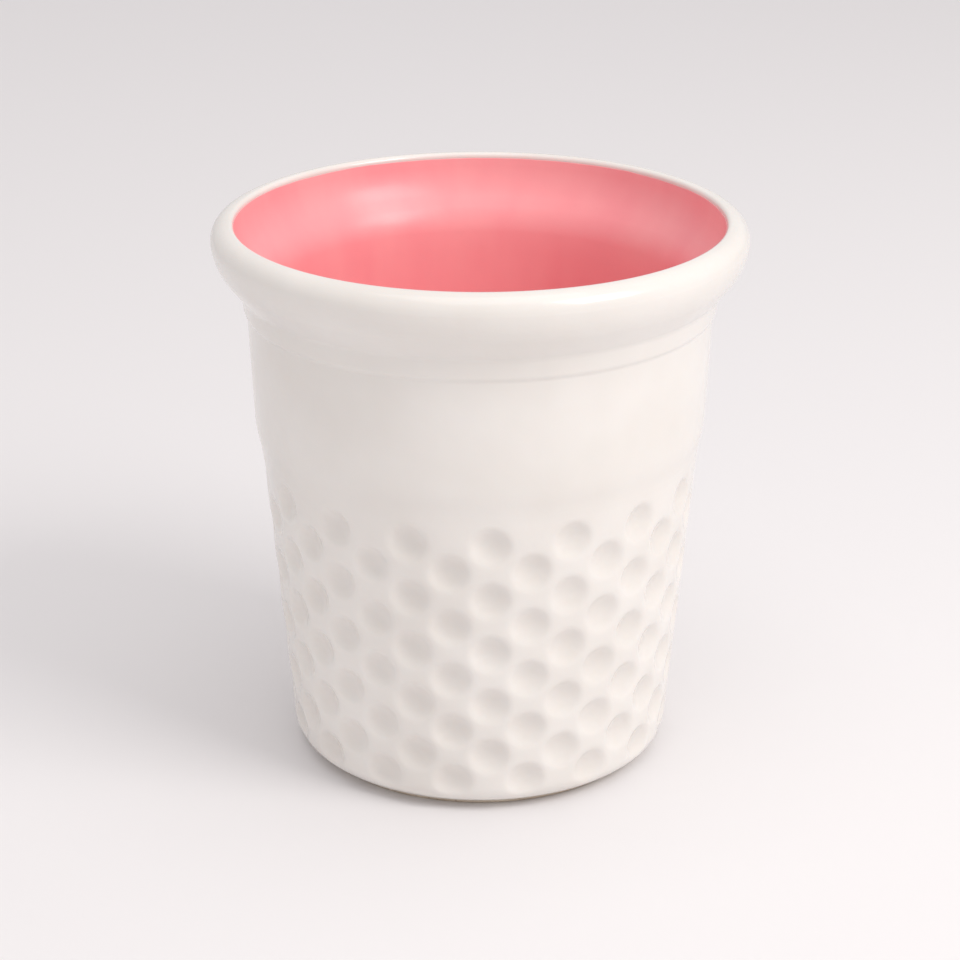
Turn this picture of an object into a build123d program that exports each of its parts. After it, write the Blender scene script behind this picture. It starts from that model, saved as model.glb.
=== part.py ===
from build123d import *
import math
import os

# Thimble pot: an open, flared pot shaped like a sewing thimble, slip-cast and glazed.
# Millimetres. +Z is up, and the origin is the centre of the foot ring on the table.
# Radii and heights are those of the glazed surfaces, unless a name says clay.

# Heights above the table
POT_HEIGHT = 100.0        # top of the lip
LIP_FACE = 6.25           # from the lip's top down to where its outer face turns under
LIP_DEPTH = 12.3          # from the lip's top down to the neck under it
COLLAR_HEIGHT = 3.3       # raised band under the neck
COLLAR_LEDGE = 0.8        # height of the little step that ends the band
RING_HEIGHT = 61.0        # middle of the soft step above the dimples
RING_SLOPE = 2.0          # height over which that step draws in
GLAZE_LINE = 1.2          # where the glaze ends above the table
FOOT_RECESS = 2.6         # hollow under the floor, inside the foot ring

# Radii
LIP_RADIUS = 47.4
NECK_RADIUS = 42.4
COLLAR_RADIUS = 41.95
WALL_TOP_RADIUS = 41.4
RING_UPPER_RADIUS = 40.45
RING_LOWER_RADIUS = 39.6
BASE_RADIUS = 34.5        # the tapered wall, carried down to the glaze line
FOOT_RADIUS = 31.0
FOOT_WIDTH = 3.4

# Thicknesses
LIP_THICKNESS = 4.1
WALL = 3.6
FLOOR = 3.6
GLAZE = 0.4

# Inside of the flared lip
INNER_LIP_DEPTH = 5.4     # from the lip's top down to the inner shoulder
INNER_LIP_DRAFT = 0.6     # how far the inner lip closes over that depth
INNER_SHOULDER = 6.0      # height of the slope from the inner lip to the inner wall

# Rounded edges of the glazed section
BASE_ROUND = 4.0
RING_ROUND = 1.6
LEDGE_ROUND = 0.5
NECK_ROUND = 1.0
LIP_ROUND = 8.0
CROWN_ROUND = 3.2
INNER_EDGE_ROUND = 0.8
INNER_LIP_ROUND = 2.5
INNER_WALL_ROUND = 5.0
INNER_FLOOR_ROUND = 6.0
FOOT_CHAMFER = 0.4

# Thimble dimples, in rows that are turned by half a step from row to row
DIMPLE_ROWS = 10
DIMPLES_PER_ROW = 17
TOP_ROW_HEIGHT = 53.2
ROW_PITCH = 5.2
FIRST_DIMPLE_TURN = 2.7   # degrees from the front towards +X
DIMPLE_WIDTH = 6.4
DIMPLE_DEPTH = 1.2

# Worked out from the sizes above
LIP_TURN_Z = POT_HEIGHT - LIP_FACE
NECK_Z = POT_HEIGHT - LIP_DEPTH
COLLAR_Z = NECK_Z - COLLAR_HEIGHT
WALL_TOP_Z = COLLAR_Z - COLLAR_LEDGE
RING_UPPER_Z = RING_HEIGHT + RING_SLOPE / 2
RING_LOWER_Z = RING_HEIGHT - RING_SLOPE / 2
FLOOR_Z = FOOT_RECESS + FLOOR
INNER_LIP_RADIUS = LIP_RADIUS - LIP_THICKNESS
SHOULDER_Z = POT_HEIGHT - INNER_LIP_DEPTH
LINING_TOP_Z = POT_HEIGHT - INNER_EDGE_ROUND
HOLLOW_RADIUS = FOOT_RADIUS - FOOT_WIDTH
DIMPLE_BALL = (DIMPLE_WIDTH ** 2 / 4 + DIMPLE_DEPTH ** 2) / (2 * DIMPLE_DEPTH)


def outer_corners():
    """Corners of the outside, from the glaze line up to the lip, each with its rounding."""
    return [
        (BASE_RADIUS, GLAZE_LINE, BASE_ROUND),
        (RING_LOWER_RADIUS, RING_LOWER_Z, RING_ROUND),
        (RING_UPPER_RADIUS, RING_UPPER_Z, RING_ROUND),
        (WALL_TOP_RADIUS, WALL_TOP_Z, LEDGE_ROUND),
        (COLLAR_RADIUS, COLLAR_Z, LEDGE_ROUND),
        (NECK_RADIUS, NECK_Z, NECK_ROUND),
        (LIP_RADIUS, LIP_TURN_Z, LIP_ROUND),
        (LIP_RADIUS, POT_HEIGHT, CROWN_ROUND),
    ]


def inner_corners():
    """Corners of the inside, from the lip's inner edge down to the floor."""
    return [
        (INNER_LIP_RADIUS, POT_HEIGHT, INNER_EDGE_ROUND),
        (INNER_LIP_RADIUS - INNER_LIP_DRAFT, SHOULDER_Z, INNER_LIP_ROUND),
        (WALL_TOP_RADIUS - WALL, SHOULDER_Z - INNER_SHOULDER, INNER_WALL_ROUND),
        (BASE_RADIUS - WALL, FLOOR_Z, INNER_FLOOR_ROUND),
    ]


def drawn_in(corners, depth):
    """Move every side of a half section into the wall by depth, and its roundings with it."""
    start = (-1, corners[0][1], 0)
    end = (-1, corners[-1][1], 0)
    path = [start] + corners + [end]
    moved = []
    for before, corner, after in zip(path, path[1:], path[2:]):
        into = Vector(corner[0] - before[0], corner[1] - before[1]).normalized()
        out = Vector(after[0] - corner[0], after[1] - corner[1]).normalized()
        turn = into.X * out.Y - into.Y * out.X
        inward = Vector(-into.Y - out.Y, into.X + out.X) * (depth / (1 + into.dot(out)))
        rounding = corner[2] - depth if turn > 0 else corner[2] + depth
        moved.append((corner[0] + inward.X, corner[1] + inward.Y, rounding))
    return moved


def half_section(depth):
    """Half section of the pot above the glaze line, drawn in by depth, as a face in XZ."""
    corners = drawn_in(outer_corners() + inner_corners(), depth)
    points = [(0, corners[0][1])] + [(r, z) for r, z, _ in corners] + [(0, corners[-1][1])]
    with BuildSketch(Plane.XZ) as section:
        with BuildLine():
            FilletPolyline(*points, radius=[rounding for _, _, rounding in corners])
            Line(points[-1], points[0])
        make_face()
    return section.sketch


def turned(section):
    """Turn a half section about the pot's axis."""
    return revolve(section, axis=Axis.Z, revolution_arc=360)


def dimple_balls(extra):
    """Balls that press the dimples, each larger by extra than the finished dimple."""
    rise = RING_LOWER_Z - GLAZE_LINE
    lean = math.atan2(RING_LOWER_RADIUS - BASE_RADIUS, rise)
    step = 360 / DIMPLES_PER_ROW
    stand_off = DIMPLE_BALL - DIMPLE_DEPTH
    balls = []
    for row in range(DIMPLE_ROWS):
        z = TOP_ROW_HEIGHT - row * ROW_PITCH
        wall_radius = BASE_RADIUS + (z - GLAZE_LINE) * math.tan(lean)
        ball_radius = wall_radius + stand_off * math.cos(lean)
        ball_z = z - stand_off * math.sin(lean)
        half_turn = (row % 2) * step / 2
        for column in range(DIMPLES_PER_ROW):
            turn = FIRST_DIMPLE_TURN - half_turn + column * step
            place = Rot(Z=turn) * Pos(0, -ball_radius, ball_z)
            # each ball's poles point at the pot's axis, and its seam lies between the rows
            balls.append(place * Rot(X=90) * Rot(Z=45) * Sphere(DIMPLE_BALL + extra))
    return balls


def round_bar(radius, low, high):
    """A plain round bar about the axis between two heights."""
    bar = Cylinder(radius, high - low, align=(Align.CENTER, Align.CENTER, Align.MIN))
    return Pos(0, 0, low) * bar


def foot_ring():
    """The bare ring of clay that the pot stands on, chamfered at both lower edges."""
    top = FOOT_RECESS + FLOOR / 2
    ring = round_bar(FOOT_RADIUS, 0, top) - round_bar(HOLLOW_RADIUS, 0, top)
    lower_edges = ring.edges().group_by(Axis.Z)[0]
    return chamfer(lower_edges, FOOT_CHAMFER)


def lining_room():
    """Everything inside the middle of the wall, up to where the pink lining ends."""
    middle = WALL / 2
    points = [
        (0, FLOOR_Z - middle),
        (BASE_RADIUS - middle, FLOOR_Z - middle),
        (WALL_TOP_RADIUS - middle, SHOULDER_Z - INNER_SHOULDER),
        (INNER_LIP_RADIUS + middle, SHOULDER_Z),
        (INNER_LIP_RADIUS + middle, LINING_TOP_Z),
        (0, LINING_TOP_Z),
    ]
    return turned(make_face(Plane.XZ * Polyline(*points, close=True)))


# The casting: the dimples are pressed deeper into the clay, which leaves room for the glaze.
plain_clay = turned(half_section(GLAZE))
clay_hollow = round_bar(HOLLOW_RADIUS, 0, FOOT_RECESS + GLAZE)
clay_body = plain_clay - dimple_balls(GLAZE) + foot_ring() - clay_hollow

# The coats: the pink lining ends on the lip's inner edge, where the white coat begins.
plain_pot = turned(half_section(0))
glazed_outside = plain_pot - dimple_balls(0) - clay_hollow
room = lining_room()
inner_glaze = (plain_pot - plain_clay) & room
outer_glaze = glazed_outside - clay_body - room
underside_glaze = round_bar(HOLLOW_RADIUS, FOOT_RECESS, FOOT_RECESS + GLAZE)

os.makedirs("parts", exist_ok=True)
NODES = {
    "clay_body": clay_body,
    "outer_glaze": outer_glaze,
    "inner_glaze": inner_glaze,
    "underside_glaze": underside_glaze,
}
for node, shape in NODES.items():
    solids = shape.solids()
    export_step(solids[0] if len(solids) == 1 else Compound(solids), f"parts/{node}.step")
    print(node, len(solids), "solids", round(sum(s.volume for s in solids) / 1000, 2), "cm3")
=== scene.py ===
# %% [markdown]
# # A glazed thimble pot
# This lesson dresses a small pot that is shaped like a sewing thimble. The real one is cast in
# clay, dipped in a warm white glaze outside and lined with a coral pink glaze inside. The packed
# model gives the clay at its real size. Each glaze coat is modelled here as a closed piece on it.

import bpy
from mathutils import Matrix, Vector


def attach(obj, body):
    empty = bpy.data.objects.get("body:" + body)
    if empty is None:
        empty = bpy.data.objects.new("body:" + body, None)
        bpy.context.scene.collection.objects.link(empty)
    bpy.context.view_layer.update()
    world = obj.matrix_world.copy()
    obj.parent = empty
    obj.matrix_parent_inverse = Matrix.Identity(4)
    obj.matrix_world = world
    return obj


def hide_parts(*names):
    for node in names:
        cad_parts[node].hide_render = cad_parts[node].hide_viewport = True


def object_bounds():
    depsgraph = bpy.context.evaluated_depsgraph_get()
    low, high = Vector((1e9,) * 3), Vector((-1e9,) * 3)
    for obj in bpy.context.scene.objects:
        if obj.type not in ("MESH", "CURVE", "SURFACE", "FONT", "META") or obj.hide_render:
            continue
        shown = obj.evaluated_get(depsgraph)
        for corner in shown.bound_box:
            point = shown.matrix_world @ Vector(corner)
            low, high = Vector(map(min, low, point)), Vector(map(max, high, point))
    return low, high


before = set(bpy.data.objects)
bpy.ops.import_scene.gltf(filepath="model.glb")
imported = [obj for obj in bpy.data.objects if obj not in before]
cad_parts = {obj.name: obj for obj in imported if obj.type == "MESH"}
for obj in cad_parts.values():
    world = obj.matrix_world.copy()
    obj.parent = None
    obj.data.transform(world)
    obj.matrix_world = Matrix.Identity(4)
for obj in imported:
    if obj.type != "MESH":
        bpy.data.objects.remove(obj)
cad_low, cad_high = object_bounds()
print("packed box in metres:", tuple(cad_low), tuple(cad_high))

# %% Modules and units
import math

import bmesh
import bpy
from mathutils import Vector, noise

MM = 0.001
scene = bpy.context.scene

# %% [markdown]
# The sizes of the glazed surface come first, because every coat is drawn from them. They are real
# sizes of the pot. Heights count from the table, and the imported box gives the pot's own height. A
# reach says how far the rounding of a corner reaches along the two sides that meet there.

# %% Sizes of the pot
POT_HEIGHT = cad_high.z
LIP_RADIUS = 47.4 * MM
LIP_THICKNESS = 4.1 * MM
INNER_LIP_RADIUS = LIP_RADIUS - LIP_THICKNESS
INNER_LIP_DRAFT = 0.6 * MM
LIP_OVERHANG = 5.0 * MM
NECK_RADIUS = LIP_RADIUS - LIP_OVERHANG
COLLAR_TAPER = 0.45 * MM
COLLAR_RADIUS = NECK_RADIUS - COLLAR_TAPER
COLLAR_STEP = 0.55 * MM
WALL_TOP_RADIUS = COLLAR_RADIUS - COLLAR_STEP
UPPER_TAPER = 0.95 * MM
RING_UPPER_RADIUS = WALL_TOP_RADIUS - UPPER_TAPER
RING_STEP = 0.85 * MM
RING_LOWER_RADIUS = RING_UPPER_RADIUS - RING_STEP
BASE_RADIUS = 34.5 * MM
FOOT_SET_IN = 3.5 * MM
FOOT_RADIUS = BASE_RADIUS - FOOT_SET_IN
FOOT_WIDTH = 3.4 * MM
WALL = 3.6 * MM
FLOOR_TOP = 6.2 * MM
GLAZE = 0.4 * MM
GLAZE_LINE = 1.2 * MM
FOOT_RECESS = 2.6 * MM
RING_Z = 61.0 * MM
RING_SLOPE = 3.5 * MM
RING_LOWER_Z = RING_Z - RING_SLOPE / 2
RING_UPPER_Z = RING_Z + RING_SLOPE / 2
LIP_DEPTH = 12.3 * MM
NECK_Z = POT_HEIGHT - LIP_DEPTH
COLLAR_HEIGHT = 3.3 * MM
COLLAR_Z = NECK_Z - COLLAR_HEIGHT
COLLAR_LEDGE = 0.8 * MM
WALL_TOP_Z = COLLAR_Z - COLLAR_LEDGE
LIP_FACE = 6.25 * MM
LIP_TURN_Z = POT_HEIGHT - LIP_FACE
INNER_LIP_DEPTH = 5.4 * MM
SHOULDER_Z = POT_HEIGHT - INNER_LIP_DEPTH
INNER_SHOULDER = 6.0 * MM
INNER_WALL_Z = SHOULDER_Z - INNER_SHOULDER
BASE_REACH = 3.7 * MM
RING_REACH = 1.4 * MM
LEDGE_REACH = 0.3 * MM
NECK_REACH = 0.6 * MM
LIP_REACH = 2.9 * MM
CROWN_REACH = 3.2 * MM
INNER_EDGE_REACH = 0.8 * MM
SHOULDER_REACH = 3.0 * MM
INNER_WALL_REACH = 2.6 * MM
FLOOR_REACH = 5.5 * MM
print("lip", LIP_RADIUS / MM, "mm, height", round(POT_HEIGHT / MM, 2), "mm")

# %% [markdown]
# A turned pot is a line spun about an axis. The line is a few corners joined by straight edges,
# and each corner is rounded by the bevel operator, which works on the vertices of a bare wire.
# Long runs are then divided, because the spun faces should not be much longer than they are wide.

# %% Helpers that draw a rounded line
ARC_STEP = math.radians(11)
CUT_SLACK = 0.001
MERGE_DISTANCE = 0.001 * MM


def rounded_line(bm, corners):
    """Adds corners (radius, height, reach) to bm as a wire and rounds them."""
    verts = [bm.verts.new((radius, 0, height)) for radius, height, _ in corners]
    for start, end in zip(verts, verts[1:]):
        bm.edges.new((start, end))
    places = [vert.co.copy() for vert in verts]
    for index in range(1, len(verts) - 1):
        reach = corners[index][2]
        if reach <= 0:
            continue
        before = places[index] - places[index - 1]
        after = places[index + 1] - places[index]
        turn = before.angle(after)
        bmesh.ops.bevel(
            bm,
            geom=[verts[index]],
            offset=reach,
            offset_type="OFFSET",
            segments=max(2, round(turn / ARC_STEP)),
            profile=0.5,
            affect="VERTICES",
            material=-1,
        )


def vert_at(bm, corner):
    """The vertex that lies nearest to a corner."""
    place = Vector((corner[0], 0, corner[1]))
    return min(bm.verts, key=lambda vert: (vert.co - place).length)


def divide_runs(bm, longest, low=-math.inf, high=math.inf):
    """Divides each edge that lies between two heights until none is longer than asked."""
    groups = {}
    for edge in bm.edges:
        heights = [vert.co.z for vert in edge.verts]
        if min(heights) < low or max(heights) > high:
            continue
        cuts = math.ceil(edge.calc_length() / longest - CUT_SLACK) - 1
        if cuts > 0:
            groups.setdefault(cuts, []).append(edge)
    for cuts, edges in groups.items():
        bmesh.ops.subdivide_edges(bm, edges=edges, cuts=cuts)


# %% A helper that spins a line into a closed piece
def spun_piece(bm, name, columns):
    """Spins everything in bm about the pot's axis and makes it an object."""
    bmesh.ops.spin(
        bm,
        geom=bm.verts[:] + bm.edges[:],
        cent=(0, 0, 0),
        axis=(0, 0, 1),
        dvec=(0, 0, 0),
        angle=math.tau,
        steps=columns,
        use_merge=True,
        use_duplicate=False,
    )
    bmesh.ops.remove_doubles(bm, verts=bm.verts[:], dist=MERGE_DISTANCE)
    bmesh.ops.recalc_face_normals(bm, faces=bm.faces[:])
    for face in bm.faces:
        face.smooth = True
    mesh = bpy.data.meshes.new(name)
    bm.to_mesh(mesh)
    bm.free()
    piece = bpy.data.objects.new(name, mesh)
    scene.collection.objects.link(piece)
    triangles = sum(len(face.vertices) - 2 for face in mesh.polygons)
    print(name, "has", triangles, "triangles")
    return piece


# %% [markdown]
# The white coat covers the outside, the lip's crown and a little of the lip's inner face. Its
# section is closed: the outer line carries the ledges that the photograph shows, and a plain line
# hidden inside the wall, the back, comes down again. The lower wall gets short edges, because the
# dimples need them.

# %% The section of the white coat
DIMPLES_PER_ROW = 17
COLUMNS_PER_DIMPLE = 31
WHITE_COLUMNS = DIMPLES_PER_ROW * COLUMNS_PER_DIMPLE
DIMPLE_EDGE = 0.47 * MM
PLAIN_EDGE = 6.0 * MM

EDGE_RISE = 0.6 * MM
EDGE_TUCK = 0.1 * MM
EDGE_REACH = 0.15 * MM
TONGUE_DEPTH = 2.0 * MM
BACK_TOP_DEPTH = 2.8 * MM
BACK_OF_TONGUE = 1.6 * MM
BACK_OF_LIP = 1.4 * MM
BACK_OF_UPPER_WALL = 1.7 * MM
BACK_OF_LOWER_WALL = 1.8 * MM
BACK_RISE = 3.0 * MM

white_outside = [
    (FOOT_RADIUS - GLAZE, GLAZE_LINE + EDGE_RISE, 0),
    (FOOT_RADIUS - EDGE_TUCK, GLAZE_LINE, EDGE_REACH),
    (BASE_RADIUS, GLAZE_LINE, BASE_REACH),
    (RING_LOWER_RADIUS, RING_LOWER_Z, RING_REACH),
    (RING_UPPER_RADIUS, RING_UPPER_Z, RING_REACH),
    (WALL_TOP_RADIUS, WALL_TOP_Z, LEDGE_REACH),
    (COLLAR_RADIUS, COLLAR_Z, LEDGE_REACH),
    (NECK_RADIUS, NECK_Z, NECK_REACH),
    (LIP_RADIUS, LIP_TURN_Z, LIP_REACH),
    (LIP_RADIUS, POT_HEIGHT, CROWN_REACH),
    (INNER_LIP_RADIUS, POT_HEIGHT, INNER_EDGE_REACH),
    (INNER_LIP_RADIUS, POT_HEIGHT - TONGUE_DEPTH, 0),
]
white_inside = [
    (INNER_LIP_RADIUS + BACK_OF_TONGUE, POT_HEIGHT - BACK_TOP_DEPTH),
    (INNER_LIP_RADIUS + BACK_OF_LIP, SHOULDER_Z),
    (NECK_RADIUS - BACK_OF_UPPER_WALL, NECK_Z),
    (WALL_TOP_RADIUS - BACK_OF_UPPER_WALL, WALL_TOP_Z),
    (RING_LOWER_RADIUS - BACK_OF_LOWER_WALL, RING_LOWER_Z),
    (BASE_RADIUS - BACK_OF_LOWER_WALL, GLAZE_LINE + BACK_RISE),
]

# %% Spin the white coat
bm = bmesh.new()
rounded_line(bm, white_outside)
divide_runs(bm, DIMPLE_EDGE, GLAZE_LINE + EDGE_TUCK, RING_LOWER_Z)
divide_runs(bm, PLAIN_EDGE)
for start, end in zip([white_outside[-1]] + white_inside, white_inside):
    bm.edges.new((vert_at(bm, start), bm.verts.new((end[0], 0, end[1]))))
bm.edges.new((vert_at(bm, white_inside[-1]), vert_at(bm, white_outside[0])))
white_coat = spun_piece(bm, "white_coat", WHITE_COLUMNS)

# %% [markdown]
# The dimples are what makes the pot a thimble. Pressing 170 balls into a mesh would leave ragged
# edges, so each vertex of the lower wall is moved inward by the depth of the nearest dimple
# instead. The depth is a ball's, eased at the rim, as glaze softens every edge that it covers. The
# eased rim has died away at 0.98 of the ball's radius from the dimple's middle.

# %% Where the dimples are
DIMPLE_ROWS = 10
TOP_ROW_DROP = 7.8 * MM
TOP_ROW_Z = RING_Z - TOP_ROW_DROP
ROW_PITCH = 5.2 * MM
FIRST_TURN = math.radians(2.7)
DIMPLE_WIDTH = 7.0 * MM
DIMPLE_DEPTH = 1.3 * MM
RIM_SOFTNESS = 0.38 * MM
BALL = (DIMPLE_WIDTH ** 2 / 4 + DIMPLE_DEPTH ** 2) / (2 * DIMPLE_DEPTH)
LEAN = math.atan2(RING_LOWER_RADIUS - BASE_RADIUS, RING_LOWER_Z - GLAZE_LINE)
TURN_STEP = math.tau / DIMPLES_PER_ROW
RIM_END = 0.98 * BALL


def dimple_depth(place):
    """How far a point of the lower wall is pressed in."""
    radius = math.hypot(place.x, place.y)
    turn = math.atan2(place.x, -place.y)
    nearest = math.inf
    middle_row = round((TOP_ROW_Z - place.z) / ROW_PITCH)
    for row in range(middle_row - 1, middle_row + 2):
        if not 0 <= row < DIMPLE_ROWS:
            continue
        first = FIRST_TURN - (row % 2) * TURN_STEP / 2
        offset = (turn - first + TURN_STEP / 2) % TURN_STEP - TURN_STEP / 2
        rise = (place.z - TOP_ROW_Z + row * ROW_PITCH) / math.cos(LEAN)
        nearest = min(nearest, math.hypot(radius * offset, rise))
    if nearest > RIM_END:
        return 0.0
    ball = math.sqrt(BALL ** 2 - nearest ** 2) - (BALL - DIMPLE_DEPTH)
    return (ball + math.hypot(ball, RIM_SOFTNESS)) / 2


# %% [markdown]
# Hand finishing leaves a cast pot slightly uneven, which is what makes a highlight on it look
# real. A slow noise moves the coat by up to 0.09 mm. Dimples and noise both fade out just above
# the glaze line, where the coat has to meet the foot. The depth of each dimple is kept as an
# attribute, so that the glaze material can paint shade into the dimples.

# %% Press the dimples and loosen the wall
UNEVEN = 0.09 * MM
UNEVEN_SIZE = 26.0 * MM
LOW_FADE_START = 1.8 * MM
LOW_FADE = 3.0 * MM
OFF_THE_WALL = 1.0 * MM
pressed = []
for vert in white_coat.data.vertices:
    place = vert.co.copy()
    radius = math.hypot(place.x, place.y)
    outward = Vector((place.x, place.y, 0)) / radius
    normal = outward * math.cos(LEAN) - Vector((0, 0, 1)) * math.sin(LEAN)
    wall_radius = BASE_RADIUS + (place.z - GLAZE_LINE) * math.tan(LEAN)
    on_lower_wall = GLAZE_LINE < place.z < RING_LOWER_Z and radius > wall_radius - OFF_THE_WALL
    low_edge = min(1.0, max(0.0, (place.z - LOW_FADE_START) / LOW_FADE))
    depth = dimple_depth(place) * low_edge if on_lower_wall else 0.0
    loose = noise.noise(place / UNEVEN_SIZE) * UNEVEN * low_edge
    vert.co = place - normal * depth + outward * loose
    pressed.append(depth / DIMPLE_DEPTH)
# the dimple depth, kept for the painted shade in the glaze material
dimple_shade = white_coat.data.attributes.new("dimple_shade", "FLOAT", "POINT")
dimple_shade.data.foreach_set("value", pressed)
print("deepest dimple", round(max(pressed) * DIMPLE_DEPTH / MM, 2), "mm")

# %% [markdown]
# The pink lining is poured in and swirled, so it follows the inside of the casting: the inner lip,
# a soft shoulder under it, a tapering wall and a rounded corner at the floor. Its line runs to
# the axis, comes back one glaze thickness deeper and is spun in the same way.

# %% Spin the pink lining
LINING_COLUMNS = 320
LINING_EDGE = 4.0 * MM
LINING_PROUD = 0.06 * MM
LINING_EDGE_REACH = 0.12 * MM
LINING_TOP_DEPTH = 0.95 * MM
LINING_TOP_Z = POT_HEIGHT - LINING_TOP_DEPTH
BACK_DROP = 1.0 * MM
BACK_SHOULDER_REACH = 1.0 * MM
BACK_WALL_REACH = 1.6 * MM
BACK_FLOOR_REACH = 5.9 * MM
lining_face = [
    (INNER_LIP_RADIUS + GLAZE, LINING_TOP_Z, 0),
    (INNER_LIP_RADIUS - LINING_PROUD, LINING_TOP_Z, LINING_EDGE_REACH),
    (INNER_LIP_RADIUS - INNER_LIP_DRAFT, SHOULDER_Z, SHOULDER_REACH),
    (WALL_TOP_RADIUS - WALL, INNER_WALL_Z, INNER_WALL_REACH),
    (BASE_RADIUS - WALL, FLOOR_TOP, FLOOR_REACH),
    (0, FLOOR_TOP, 0),
]
lining_back = [
    (0, FLOOR_TOP - GLAZE, 0),
    (BASE_RADIUS - WALL + GLAZE, FLOOR_TOP - GLAZE, BACK_FLOOR_REACH),
    (WALL_TOP_RADIUS - WALL + GLAZE, INNER_WALL_Z, BACK_WALL_REACH),
    (INNER_LIP_RADIUS - INNER_LIP_DRAFT + GLAZE, SHOULDER_Z, BACK_SHOULDER_REACH),
    (INNER_LIP_RADIUS + GLAZE, LINING_TOP_Z - BACK_DROP, 0),
]
bm = bmesh.new()
rounded_line(bm, lining_face)
rounded_line(bm, lining_back)
divide_runs(bm, LINING_EDGE)
bm.edges.new((vert_at(bm, lining_back[-1]), vert_at(bm, lining_face[0])))
pink_lining = spun_piece(bm, "pink_lining", LINING_COLUMNS)

# %% [markdown]
# On a pot like this one the line where pink meets white is drawn by hand with a brush, so it
# wavers by a fraction of a millimetre. Only the lining's top edge moves, and the move fades out
# below it.

# %% Waver of the pink edge
WAVER = 0.16 * MM
WAVER_FADE = 1.6 * MM
SLOW_WAVES = 3.0
QUICK_WAVES = 11.0
QUICK_SHARE = 0.4
for vert in pink_lining.data.vertices:
    near_edge = max(0.0, 1 - (LINING_TOP_Z - vert.co.z) / WAVER_FADE)
    around = Vector((vert.co.x, vert.co.y, 0)).normalized()
    waves = noise.noise(around * SLOW_WAVES) + QUICK_SHARE * noise.noise(around * QUICK_WAVES)
    vert.co.z += WAVER * near_edge * waves
print("pink edge at about", round(LINING_TOP_Z / MM, 2), "mm")

# %% [markdown]
# Under the pot the foot ring is wiped bare so that it can't stick to the kiln shelf, and the
# hollow inside the ring keeps its white glaze. That patch is a thin lens with a rolled edge.

# %% Spin the underside patch
HOLLOW_RADIUS = FOOT_RADIUS - FOOT_WIDTH
PATCH_COLUMNS = 160
PATCH_EDGE = 5.0 * MM
PATCH_GAP = 0.05 * MM
PATCH_ROLL = 1.2 * MM
PATCH_ROLL_REACH = 0.5 * MM
PATCH_RISE = 0.3 * MM
PATCH_RISE_REACH = 0.05 * MM
bm = bmesh.new()
rounded_line(
    bm,
    [
        (0, FOOT_RECESS, 0),
        (HOLLOW_RADIUS - PATCH_ROLL, FOOT_RECESS, PATCH_ROLL_REACH),
        (HOLLOW_RADIUS - PATCH_GAP, FOOT_RECESS + PATCH_RISE, PATCH_RISE_REACH),
        (HOLLOW_RADIUS - PATCH_GAP, FOOT_RECESS + GLAZE, 0),
        (0, FOOT_RECESS + GLAZE, 0),
    ],
)
divide_runs(bm, PATCH_EDGE)
underside_patch = spun_piece(bm, "underside_patch", PATCH_COLUMNS)

# %% [markdown]
# Next come the finishes. A glaze is glass over clay: it has a clear smooth coat over a body that
# scatters light. The helpers below build the nodes that all three finishes share, which are noise
# on object coordinates for colour, roughness and the faint ripple of a fired surface.


# %% Helpers for node materials
def new_material(name):
    """A material with its node tree, its shader and its object coordinates."""
    material = bpy.data.materials.new(name)
    material.use_nodes = True
    tree = material.node_tree
    where = tree.nodes.new("ShaderNodeTexCoord").outputs["Object"]
    return material, tree, tree.nodes["Principled BSDF"], where


def noise_node(tree, where, size, detail=2.0):
    """Noise whose features are about one size across, in metres."""
    node = tree.nodes.new("ShaderNodeTexNoise")
    node.inputs["Scale"].default_value = 1 / size
    node.inputs["Detail"].default_value = detail
    tree.links.new(where, node.inputs["Vector"])
    return node.outputs["Fac"]


def ramp_node(tree, value, stops):
    """A colour ramp with the given stops (place, colour)."""
    node = tree.nodes.new("ShaderNodeValToRGB")
    elements = node.color_ramp.elements
    for element, (place, colour) in zip(elements, stops):
        element.position = place
        element.color = (*colour, 1)
    tree.links.new(value, node.inputs["Fac"])
    return node.outputs["Color"]


def mix_colour(tree, factor, first, second):
    """Mixes two colours, each of them an output or a plain colour."""
    node = tree.nodes.new("ShaderNodeMix")
    node.data_type = "RGBA"
    tree.links.new(factor, node.inputs["Factor"])
    for socket, colour in ((node.inputs["A"], first), (node.inputs["B"], second)):
        if isinstance(colour, tuple):
            socket.default_value = (*colour, 1)
        else:
            tree.links.new(colour, socket)
    return node.outputs["Result"]


def map_range(tree, value, low, high):
    """Spreads a value from 0 to 1 between two new limits."""
    node = tree.nodes.new("ShaderNodeMapRange")
    node.inputs["To Min"].default_value = low
    node.inputs["To Max"].default_value = high
    tree.links.new(value, node.inputs["Value"])
    return node.outputs["Result"]


def bump(tree, shader, layers):
    """Stacks bump nodes, each (height output, depth in metres), on the shader's normal."""
    normal = None
    for height, depth in layers:
        node = tree.nodes.new("ShaderNodeBump")
        node.inputs["Distance"].default_value = depth
        tree.links.new(height, node.inputs["Height"])
        if normal is not None:
            tree.links.new(normal, node.inputs["Normal"])
        normal = node.outputs["Normal"]
    tree.links.new(normal, shader.inputs["Normal"])
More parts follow.
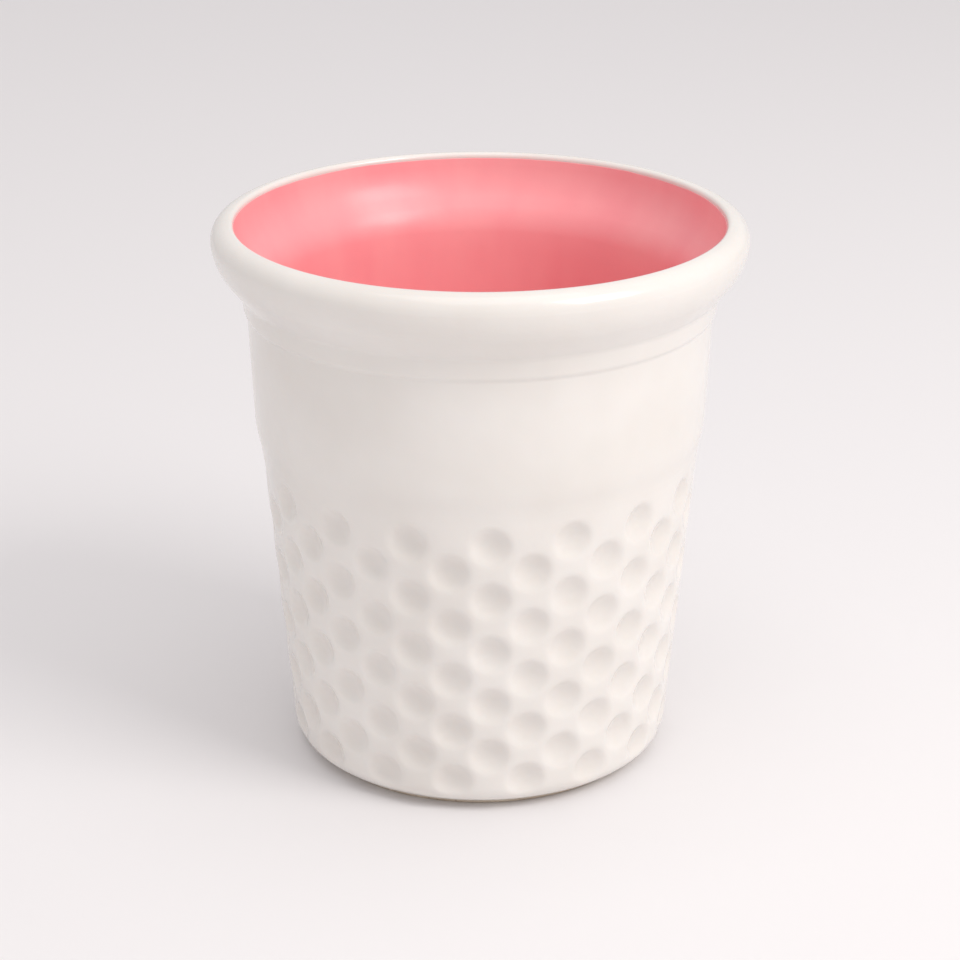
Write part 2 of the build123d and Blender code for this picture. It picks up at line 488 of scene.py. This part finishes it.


# %% [markdown]
# The white glaze is warm. Its tone drifts a little from place to place. In the dimples a painted
# shade makes it a little greyer, more so where they are deeper, which the dimple_shade attribute
# tells. Its ripple is a few hundredths of a millimetre deep.

# %% Warm white glaze
WHITE_DARK = (0.80, 0.765, 0.725)
WHITE_LIGHT = (0.845, 0.815, 0.78)
# painted shade: the colour that the dimples are greyed towards
WHITE_PAINTED_SHADE = (0.76, 0.70, 0.65)
MOST_PAINTED_SHADE = 0.35
WHITE_ROUGHNESS = (0.14, 0.26)
CLOUD_SIZE = 18 * MM
GLOSS_SIZE = 7 * MM
RIPPLE_SIZE = 5 * MM
RIPPLE_DEPTH = 0.05 * MM
GRAIN_SIZE = 0.7 * MM
GRAIN_DEPTH = 0.004 * MM
white_glaze, tree, shader, where = new_material("warm_white_glaze")
cloud = noise_node(tree, where, CLOUD_SIZE, detail=3.0)
base = ramp_node(tree, cloud, [(0.3, WHITE_DARK), (0.7, WHITE_LIGHT)])
# painted shade: the deeper a point of a dimple, the greyer its colour
dimple_shade_node = tree.nodes.new("ShaderNodeAttribute")
dimple_shade_node.attribute_name = "dimple_shade"
painted_shade_share = map_range(tree, dimple_shade_node.outputs["Fac"], 0.0, MOST_PAINTED_SHADE)
tree.links.new(mix_colour(tree, painted_shade_share, base, WHITE_PAINTED_SHADE), shader.inputs["Base Color"])
gloss = map_range(tree, noise_node(tree, where, GLOSS_SIZE), *WHITE_ROUGHNESS)
tree.links.new(gloss, shader.inputs["Roughness"])
shader.inputs["IOR"].default_value = 1.5
shader.inputs["Coat Weight"].default_value = 0.35
shader.inputs["Coat Roughness"].default_value = 0.06
shader.inputs["Subsurface Weight"].default_value = 0.12
shader.inputs["Subsurface Radius"].default_value = (1.0, 0.75, 0.6)
shader.inputs["Subsurface Scale"].default_value = 1.2 * MM
ripple = noise_node(tree, where, RIPPLE_SIZE)
grain = noise_node(tree, where, GRAIN_SIZE)
bump(tree, shader, [(ripple, RIPPLE_DEPTH), (grain, GRAIN_DEPTH)])
print("white glaze nodes:", len(tree.nodes))

# %% [markdown]
# The pink glaze is stained glass over white clay, so it is more saturated where it lies thick.
# Slow runs down the wall come from noise that is stretched along the height by a Mapping node.

# %% Coral pink glaze
PINK_THICK = (0.95, 0.34, 0.37)
PINK_THIN = (0.97, 0.39, 0.41)
PINK_ROUGHNESS = (0.30, 0.42)
RUN_SIZE = 9 * MM
RUN_STRETCH = (1.0, 1.0, 0.3)
pink_glaze, tree, shader, where = new_material("coral_pink_glaze")
stretch = tree.nodes.new("ShaderNodeMapping")
stretch.inputs["Scale"].default_value = RUN_STRETCH
tree.links.new(where, stretch.inputs["Vector"])
runs = noise_node(tree, stretch.outputs["Vector"], RUN_SIZE)
stain = ramp_node(tree, runs, [(0.3, PINK_THICK), (0.7, PINK_THIN)])
tree.links.new(stain, shader.inputs["Base Color"])
gloss = map_range(tree, noise_node(tree, where, GLOSS_SIZE), *PINK_ROUGHNESS)
tree.links.new(gloss, shader.inputs["Roughness"])
shader.inputs["IOR"].default_value = 1.5
shader.inputs["Coat Weight"].default_value = 0.15
shader.inputs["Coat Roughness"].default_value = 0.2
bump(tree, shader, [(noise_node(tree, where, RIPPLE_SIZE), RIPPLE_DEPTH)])
print("pink glaze nodes:", len(tree.nodes))

# %% [markdown]
# Bare fired clay is matt and faintly gritty, with small iron specks. It shows on the foot ring.

# %% Bisque clay
CLAY_DARK = (0.60, 0.50, 0.40)
CLAY_LIGHT = (0.70, 0.61, 0.50)
CLAY_TONE_SIZE = 4 * MM
SPECK_COLOUR = (0.30, 0.21, 0.15)
SPECK_SIZE = 0.5 * MM
BLACK = (0, 0, 0)
WHITE = (1, 1, 1)
GRIT_SIZE = 0.35 * MM
GRIT_DEPTH = 0.03 * MM
bisque, tree, shader, where = new_material("bisque_clay")
drift = noise_node(tree, where, CLAY_TONE_SIZE, detail=4.0)
tone = ramp_node(tree, drift, [(0.3, CLAY_DARK), (0.7, CLAY_LIGHT)])
speck_noise = noise_node(tree, where, SPECK_SIZE, detail=1.0)
speck = ramp_node(tree, speck_noise, [(0.70, BLACK), (0.74, WHITE)])
tree.links.new(mix_colour(tree, speck, tone, SPECK_COLOUR), shader.inputs["Base Color"])
shader.inputs["Roughness"].default_value = 0.85
grit = noise_node(tree, where, GRIT_SIZE, detail=3.0)
bump(tree, shader, [(grit, GRIT_DEPTH)])
print("bisque nodes:", len(tree.nodes))

# %% [markdown]
# Each coat rides on the pot's one body and stands for one packed coat, which it hides. The packed
# clay itself stays, because its shape is right, and only gets its finish.

# %% Give every piece its finish and its body
for piece, material, slot, node in (
    (white_coat, white_glaze, "white_glaze", "outer_glaze"),
    (pink_lining, pink_glaze, "pink_glaze", "inner_glaze"),
    (underside_patch, white_glaze, "white_glaze", "underside_glaze"),
):
    piece.data.materials.append(material)
    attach(piece, "root")
    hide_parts(node)
    print(piece.name, "stands for", node)
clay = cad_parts["clay_body"]
clay.data.materials.clear()
clay.data.materials.append(bisque)

# %% [markdown]
# The stage is a plain pale floor. It is far larger than the view, so it has no visible edge.

# %% Floor
FLOOR_HALF = 3.0
FLOOR_COLOUR = (0.84, 0.825, 0.835)
bm = bmesh.new()
bmesh.ops.create_grid(bm, x_segments=1, y_segments=1, size=FLOOR_HALF)
floor_mesh = bpy.data.meshes.new("floor")
bm.to_mesh(floor_mesh)
bm.free()
floor = bpy.data.objects.new("floor", floor_mesh)
scene.collection.objects.link(floor)
pale, _, shader, _ = new_material("pale_floor")
shader.inputs["Base Color"].default_value = (*FLOOR_COLOUR, 1)
shader.inputs["Roughness"].default_value = 0.6
shader.inputs["Specular IOR Level"].default_value = 0.2
floor_mesh.materials.append(pale)

# %% [markdown]
# The light in the photograph comes softly from the right and from above, so that each dimple is
# bright on its left side and dark on its right. A large area light does that. A second one, high
# over the pot, lights the lip's crown and the lining, and an even world fills the shade. The camera
# sees a paler world than the pot does, so that what lies beyond the floor is nearly white.

# %% Lights
KEY_TURN = math.radians(57)
KEY_HEIGHT = math.radians(42)
KEY_DISTANCE = 0.9
KEY_SIZE = 0.40
KEY_POWER = 3.4
KEY_COLOUR = (1.0, 0.97, 0.94)
TOP_TURN = math.radians(20)
TOP_HEIGHT = math.radians(80)
TOP_DISTANCE = 1.1
TOP_SIZE = 0.9
TOP_POWER = 2.2
TOP_COLOUR = (1.0, 0.98, 0.97)
TARGET = Vector((0, 0, POT_HEIGHT / 2))


def area_light(name, turn, height, distance, size, power, colour):
    """Adds a square area light that aims at the pot from a turn and a height."""
    data = bpy.data.lights.new(name, "AREA")
    data.shape = "SQUARE"
    data.size = size
    data.energy = power
    data.color = colour
    lamp = bpy.data.objects.new(name, data)
    level = math.cos(height)
    back = Vector((math.sin(turn) * level, -math.cos(turn) * level, math.sin(height)))
    lamp.location = TARGET + back * distance
    lamp.rotation_euler = back.to_track_quat("Z", "Y").to_euler()
    scene.collection.objects.link(lamp)


area_light("key", KEY_TURN, KEY_HEIGHT, KEY_DISTANCE, KEY_SIZE, KEY_POWER, KEY_COLOUR)
area_light("top", TOP_TURN, TOP_HEIGHT, TOP_DISTANCE, TOP_SIZE, TOP_POWER, TOP_COLOUR)
print("lights:", len(bpy.data.lights))

# %% World
SKY_COLOUR = (1.0, 0.97, 0.97)
SKY_STRENGTH = 0.72
BACKDROP_COLOUR = (0.92, 0.905, 0.91)
world = bpy.data.worlds.new("studio")
scene.world = world
world.use_nodes = True
nodes = world.node_tree.nodes
links = world.node_tree.links
sky = nodes["Background"]
sky.inputs["Color"].default_value = (*SKY_COLOUR, 1)
sky.inputs["Strength"].default_value = SKY_STRENGTH
backdrop = nodes.new("ShaderNodeBackground")
backdrop.inputs["Color"].default_value = (*BACKDROP_COLOUR, 1)
ray = nodes.new("ShaderNodeLightPath")
choose = nodes.new("ShaderNodeMixShader")
links.new(ray.outputs["Is Camera Ray"], choose.inputs["Fac"])
links.new(sky.outputs["Background"], choose.inputs[1])
links.new(backdrop.outputs["Background"], choose.inputs[2])
links.new(choose.outputs["Shader"], nodes["World Output"].inputs["Surface"])

# %% [markdown]
# The camera looks down on the pot by about 22 degrees from half a metre away, which is what the
# shapes of the lip and the foot in the photograph give. Its lens is in millimetres.

# %% Camera
CAMERA_PITCH = math.radians(21.8)
CAMERA_DISTANCE = 0.478
CAMERA_LENS = 98
CAMERA_NEAREST = 10 * MM
camera_data = bpy.data.cameras.new("camera")
camera_data.lens = CAMERA_LENS
camera_data.clip_start = CAMERA_NEAREST
camera = bpy.data.objects.new("camera", camera_data)
scene.collection.objects.link(camera)
scene.camera = camera
back = Vector((0, -math.cos(CAMERA_PITCH), math.sin(CAMERA_PITCH)))
camera.location = TARGET + back * CAMERA_DISTANCE
camera.rotation_euler = back.to_track_quat("Z", "Y").to_euler()
scene.view_settings.view_transform = "Standard"
print("camera at", [round(value, 3) for value in camera.location])
